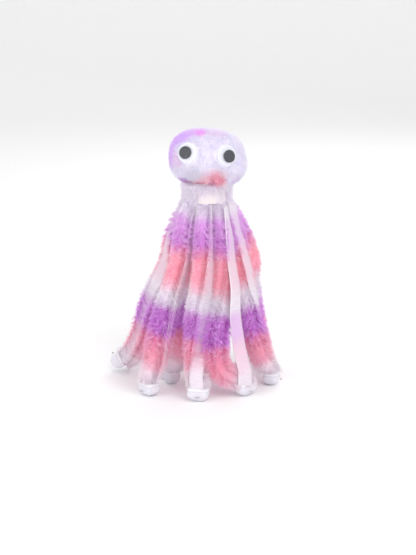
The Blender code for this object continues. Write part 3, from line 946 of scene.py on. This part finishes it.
def stuffHead(obj):
    # The bag is remeshed evenly and blown up by cloth simulation, its movement capped. The eyes' seats
    # and the throat hold still.
    scene = bpy.context.scene
    bpy.context.view_layer.objects.active = obj
    applyModifier(obj, "REMESH", mode="VOXEL", voxel_size=head["voxel"] * mm, use_smooth_shade=True)
    before = rows(obj.data.vertices, "co")
    seats = [eyePlace(eye)[0] * mm for eye in eyes.values()]
    near = np.min([np.linalg.norm(before - seat, axis=1) for seat in seats], axis=0)
    throat = np.linalg.norm(before[:, :2] - headMiddle[:2] * mm, axis=1) / (head["throat"] * mm)
    low = (before[:, 2] < (headMiddle[2] - 15) * mm) * (throat < 1)
    held = np.maximum(1 - smooth(near, 5 * mm, 10 * mm), low)
    group = obj.vertex_groups.new(name="held")
    for index in np.nonzero(held > 0.02)[0]:
        group.add([int(index)], float(held[index]), "REPLACE")
    puff = obj.modifiers.new("puff", "CLOTH")
    for key, value in head["stuffing"].items():
        setattr(puff.settings, key, value)
    puff.settings.effector_weights.gravity = 0.0
    puff.settings.vertex_group_mass = "held"
    puff.collision_settings.use_collision = False
    puff.point_cache.frame_start = 1
    puff.point_cache.frame_end = head["frames"]
    for step in range(1, head["frames"] + 1):
        scene.frame_set(step)
    bpy.ops.object.modifier_apply(modifier="puff")
    scene.frame_set(1)
    moved = rows(obj.data.vertices, "co") - before
    far = np.linalg.norm(moved, axis=1, keepdims=True)
    print("the stuffing moved the bag by up to", round(float(far.max()) * 1000, 2), "mm")
    moved = moved * np.minimum(1, head["cap"] * mm / np.maximum(far, 1e-9))
    obj.data.vertices.foreach_set("co", (before + np.nan_to_num(moved)).astype(np.float32).ravel())
    obj.vertex_groups.clear()
    applyModifier(obj, "SUBSURF", levels=1, render_levels=1)
    obj.data.update()


def planted(obj, count, seed):
    # Points spread over the mesh by area, with the surface's own normals there.
    mesh = obj.data
    mesh.calc_loop_triangles()
    corners = rows(mesh.loop_triangles, "vertices", np.int32)
    place = rows(mesh.vertices, "co").astype(float) * 1000
    normals = rows(mesh.vertex_normals, "vector").astype(float)
    a, b, c = (place[corners[:, i]] for i in range(3))
    area = np.linalg.norm(np.cross(b - a, c - a), axis=1)
    rng = np.random.default_rng(seed)
    chosen = np.searchsorted(np.cumsum(area) / area.sum(), (np.arange(count) + rng.random(count)) / count)
    chosen = np.minimum(chosen, len(area) - 1)
    u, v = rng.random((2, count))
    u, v = np.where(u + v > 1, 1 - u, u), np.where(u + v > 1, 1 - v, v)
    weights = np.stack([1 - u - v, u, v], -1)[..., None]
    root = (place[corners[chosen]] * weights).sum(1)
    return root, unit((normals[corners[chosen]] * weights).sum(1)), place, corners


def creaseShare(points):
    # 1 on a shallow curve under the face, from the left of the neck to the whorl, and 0 from 1.6 mm away.
    x, y, z = (points - headMiddle).T
    curve = -14.6 - 1.6 * np.sin(np.clip((x + 16) / 20, 0, 1) * math.pi)
    return (1 - smooth(np.abs(z - curve), 0.4, 2.0)) * smooth(x, -17.5, -14) * (1 - smooth(x, 3, 7)) * (y < 0)


def clearEyes(root):
    # Which strands stand clear of both eyes, and a push away from each eye's rim.
    keep = np.ones(len(root), bool)
    push = np.zeros((len(root), 3))
    for eye in eyes.values():
        seat, across, up, outward = eyePlace(eye)
        away = root - seat
        flat = away - outward * (away @ outward)[:, None]
        radius = np.linalg.norm(flat, axis=1)
        keep &= ~((radius < 7.0) & (np.abs(away @ outward) < 8))
        ring = (1 - smooth(radius, 7.2, 11)) * (np.abs(away @ outward) < 10)
        push += unit(flat) * ring[:, None] * 1.1
    return keep, push


def headStrands(bag):
    # Strands flow down and a little outwards, away from the eyes' rims and out from the whorl's heart,
    # with a random part and a slow ripple. From root to tip one leans as its share^1.4.
    count = head["strands"]
    root, normal, place, corners = planted(bag, count, 41)
    rng = np.random.default_rng(43)
    keep, push = clearEyes(root)
    low = root - headMiddle
    keep &= ~((low[:, 2] < -16.5) & (np.linalg.norm(low[:, :2], axis=1) < head["throat"]))
    root, normal, push, low = root[keep], normal[keep], push[keep], low[keep]
    count = len(root)
    heart = low - np.array(head["whorl"])
    whorl = 1 - smooth(np.linalg.norm(heart, axis=1), 3, 11)
    flow = down + 0.35 * np.stack([low[:, 0] / 26, low[:, 1] / 24, low[:, 2] * 0], -1) + push
    flow = flow * (1 - whorl[:, None]) + unit(heart + np.array([0, 0, 1.0])) * whorl[:, None] * 1.4
    flow = flow + rng.normal(size=(count, 3)) * 0.32
    flow = flow + 0.5 * np.stack([ripple(low[:, 0] * 0.25, low[:, 2] * 0.25, s) for s in (1, 2, 3)], -1)
    flow = flow - normal * (flow * normal).sum(1, keepdims=True)
    crease = creaseShare(root)
    size = head["pileLength"] * rng.uniform(0.55, 1.25, count) * (1 + 1.1 * whorl) * (1 - 0.6 * crease)
    shares = head["shares"]
    lean = flow[:, None] * (shares ** 1.4)[None, :, None] * 0.62
    rise = normal[:, None] * (-0.25 + 1.0 * np.sin(shares * math.pi / 2))[None, :, None] * 0.85
    path = root[:, None] + (lean + rise) * size[:, None, None]
    radius = head["radius"] * rng.uniform(0.8, 1.2, count)
    tuft = strandSet(path, radius, shares, {"hair": rng.random(count), "crease": crease})
    return tuft, place, corners


def makeHead():
    # The bag, drawn in by 1 mm along its crease, and its pile, as one mesh.
    bag = putMesh("head_bag", *headSkin(), {}, "head")
    stuffHead(bag)
    tuft, place, corners = headStrands(bag)
    bpy.data.objects.remove(bag)
    crease = creaseShare(place)
    sunk = place - unit(place - headMiddle) * crease[:, None] * 1.0
    # The bag's tip value gives it part of the roots' painted shade.
    values = {"tip": np.full(len(place), 0.3), "hair": np.full(len(place), 0.45), "crease": crease}
    plush = putMesh("head_plush", *joined((sunk, [corners], values), tuft), "head")
    settle(plush, "short_pile", "head", "head_cover", "head_filling")


makeHead()
print("head is made")

# The eyes: turned plastic, each profile (radius, height) in mm.
eyeShape = {
    "around": 72,
    "disc": [(0, 1.0), (3, 1.0), (5.2, 1.0), (5.5, 1.12), (5.8, 1.0), (6.3, 1.0), (6.55, 1.14), (6.8, 1.0),
             (7.1, 0.95), (7.35, 0.75), (7.4, 0.4), (7.4, 0.0), (0, 0)],
    "pupil": [(0, 0.9), (2, 0.92), (3.6, 0.9), (4.2, 0.84), (4.45, 0.68), (4.5, 0.4), (4.45, 0.05), (4.3, 0),
              (0, 0)],
    "radius": 7.4,
    "domeHeight": 3.9,
    "domeWall": 0.55,
    "domeLift": 1.3,
    "pupilLift": 1.5,
}


def turned(name, profile, place, lift, aside, look):
    # The profile turned round the eye's own axis, its poles closed by a point.
    seat, across, up, outward = place
    radius, height = np.array(profile, float).T
    turn = np.arange(eyeShape["around"]) * 2 * math.pi / eyeShape["around"]
    radius = np.maximum(radius, 0.02)
    x = radius[:, None] * np.cos(turn) + aside[0]
    y = radius[:, None] * np.sin(turn) + aside[1]
    z = np.repeat((height + lift)[:, None], len(turn), 1)
    points = seat + x[..., None] * across + y[..., None] * up + z[..., None] * outward
    values = {"radial": ringValues(radius / eyeShape["radius"], len(turn))}
    points = points[:, ::-1]  # so that the faces point outwards
    return putMesh(name, closeTube(points), tubeFaces(len(radius), len(turn)), values, look)


def domeProfile():
    # Down the outside, radius sin^0.85 and height cos^0.8, then back up the inside.
    radius, height, wall = eyeShape["radius"], eyeShape["domeHeight"], eyeShape["domeWall"]
    quarter = np.linspace(0.0, math.pi / 2, 16)
    outer = [(radius * math.sin(q) ** 0.85, height * max(math.cos(q), 0) ** 0.8) for q in quarter]
    inner = [(r * (1 - wall / radius), h * (1 - wall / height)) for r, h in outer]
    return outer + inner[::-1]


for side, eye in eyes.items():
    place = eyePlace(eye)
    disc = turned(f"{side}_eye_white", eyeShape["disc"], place, 0.0, (0, 0), "eyeWhite")
    dome = turned(f"{side}_eye_clear", domeProfile(), place, eyeShape["domeLift"], (0, 0), "eyeClear")
    lift = eyeShape["pupilLift"]
    pupil = turned(f"{side}_eye_black", eyeShape["pupil"], place, lift, eye["pupil"], "pupil")
    settle(disc, "eye_white", "head", f"{side}_eye_disc")
    settle(dome, "eye_clear", "head", f"{side}_eye_dome")
    settle(pupil, "eye_black", f"{side}_pupil", f"{side}_pupil")
print("eyes are made")

# The neck: a satin band, bare in front, with white pile on the rest of it.
neck = {
    "radius": 16.6,
    "top": 152.0,
    "bottom": 137.5,
    "around": 120,
    "rings": 24,
    "drawnIn": 0.9,
    "pleats": (17, 0.22),  # how many, and mm deep
    "fold": (-0.46, 0.05, 0.7),  # place from the front and width in radians, mm high
    "bare": (-6.5, 13.5, 147.5),  # from and to across the front, and its top
    "strands": 5200,
}


def neckPoint(angle, height):
    # A ring whose middle draws in as the sine of its share of the height, with small upright pleats
    # and one raised fold, a bell curve round its own place.
    share = (height - neck["bottom"]) / (neck["top"] - neck["bottom"])
    pleats, depth = neck["pleats"]
    place, width, rise = neck["fold"]
    radius = neck["radius"] - neck["drawnIn"] * np.sin(share * math.pi)
    radius = radius + depth * np.sin(angle * pleats) * np.sin(share * math.pi) ** 2
    radius = radius + rise * np.exp(-((angle + math.pi / 2 - place) / width) ** 2)
    return headAxis + np.stack([radius * np.cos(angle), radius * np.sin(angle), height], -1)


def makeBand():
    # The band's rings from bottom to top.
    height = np.linspace(neck["bottom"], neck["top"], neck["rings"])[:, None]
    angle = (np.arange(neck["around"]) * 2 * math.pi / neck["around"] - math.pi)[None]
    height, angle = np.broadcast_arrays(height, angle)
    faces = tubeFaces(neck["rings"], neck["around"])
    band = putMesh("neck_satin", closeTube(neckPoint(angle, height)), faces, {}, "neck")
    settle(band, "satin_ribbon", "head", "neck_band", "neck_gather")


def makeFringe():
    # Strands wound round the band by the golden share of a turn, hanging down as their share^1.4.
    rng = np.random.default_rng(77)
    count = neck["strands"]
    angle = (np.arange(count) * goldenShare % 1) * 2 * math.pi - math.pi
    rise = (np.arange(count) + rng.random(count)) / count * (neck["top"] - neck["bottom"] - 0.5)
    height = neck["bottom"] + 0.5 + rise
    root = neckPoint(angle, height)
    normal = np.stack([np.cos(angle), np.sin(angle), np.zeros(count)], -1)
    start, end, top = neck["bare"]
    x = root[:, 0] - headAxis[0]
    bare = (root[:, 1] < headAxis[1]) & (x > start) & (x < end) & (height < top)
    root, normal, height = root[~bare], normal[~bare], height[~bare]
    count = len(root)
    size = rng.uniform(3.0, 5.0, count)[:, None, None]
    flow = down * 0.75 + rng.normal(size=(count, 3)) * 0.22
    shares = pile["shares"]
    lean = flow[:, None] * (shares ** 1.4)[None, :, None]
    stand = normal[:, None] * (np.sin(shares * 1.5) - 0.2)[None, :, None] * 0.7
    path = root[:, None] + size * (lean + stand)
    hair = rng.random(count)
    mark = 6 - (height - neck["bottom"]) * 0.4
    fringe = strandSet(path, rng.uniform(0.2, 0.28, count), shares, {"hair": hair, "dye": mark})
    settle(putMesh("neck_pile", *fringe, "plush"), "short_pile", "head")


makeBand()
makeFringe()
print("neck is made")


def makeFloor():
    # A flat floor that turns up behind along a quarter circle into a wall.
    floor = bpy.data.meshes.new("floor")
    reach, (start, radius) = room["reach"], room["bend"]
    turn = np.linspace(0, math.pi / 2, 16)
    bend = np.stack([start + radius * np.sin(turn), radius - radius * np.cos(turn)], -1)
    profile = np.concatenate([[(-reach, 0.0)], bend, [(start + radius, room["wall"])]])
    left = np.stack([np.full(len(profile), -reach), profile[:, 0], profile[:, 1]], -1)
    right = left * np.array([-1, 1, 1])
    n = len(profile)
    step = np.arange(n - 1)
    faces = np.stack([step, step + n, step + n + 1, step + 1], -1)
    floor.from_pydata(np.concatenate([left, right]).tolist(), [], faces.tolist())
    floor.polygons.foreach_set("use_smooth", [True] * (n - 1))
    look = Look("paleFloor", Roughness=0.9)
    darker = tuple(v * 0.985 for v in room["floor"])
    grain = look.noise(look.place(), 40.0, 3.0)
    look.feed("Base Color", look.blend(grain, room["floor"] + (1.0,), darker + (1.0,)))
    floor.materials.append(look.material)
    obj = bpy.data.objects.new("floor", floor)
    bpy.context.scene.collection.objects.link(obj)


def makeLight():
    # An even white sky and three round lamps, each turned to the middle of the toy.
    world = bpy.data.worlds.new("studio")
    world.use_nodes = True
    world.node_tree.nodes["Background"].inputs["Color"].default_value = (1.0, 1.0, 1.0, 1.0)
    world.node_tree.nodes["Background"].inputs["Strength"].default_value = room["world"]
    bpy.context.scene.world = world
    for name, (place, size, power) in room["lamps"].items():
        lamp = bpy.data.lights.new(name, "AREA")
        lamp.shape = "DISK"
        lamp.size = size * mm
        lamp.energy = power
        body = bpy.data.objects.new(name, lamp)
        bpy.context.scene.collection.objects.link(body)
        body.location = np.array(place) * mm + headAxis * mm
        aim = Vector((headAxis[0] * mm, headAxis[1] * mm, 0.09)) - body.location
        body.rotation_euler = aim.to_track_quat("-Z", "Y").to_euler()


def makeCamera():
    # The camera stands back from its aim by the distance, raised by the angle, on the front side.
    rise = math.radians(camera["rise"])
    aim = (headAxis + np.array([camera["aimRight"], 0, camera["aimHeight"]])) * mm
    data = bpy.data.cameras.new("view")
    data.sensor_fit = "VERTICAL"
    data.sensor_height = 36.0
    data.lens = 36.0 * camera["distance"] / camera["fieldHeight"]
    data.clip_end = 20.0
    obj = bpy.data.objects.new("view", data)
    bpy.context.scene.collection.objects.link(obj)
    obj.location = aim + np.array([0, -math.cos(rise), math.sin(rise)]) * camera["distance"] * mm
    obj.rotation_euler = (math.pi / 2 - rise, 0, 0)
    bpy.context.scene.camera = obj


makeFloor()
makeLight()
makeCamera()
bpy.context.scene.view_settings.view_transform = "Standard"
print("scene is ready")
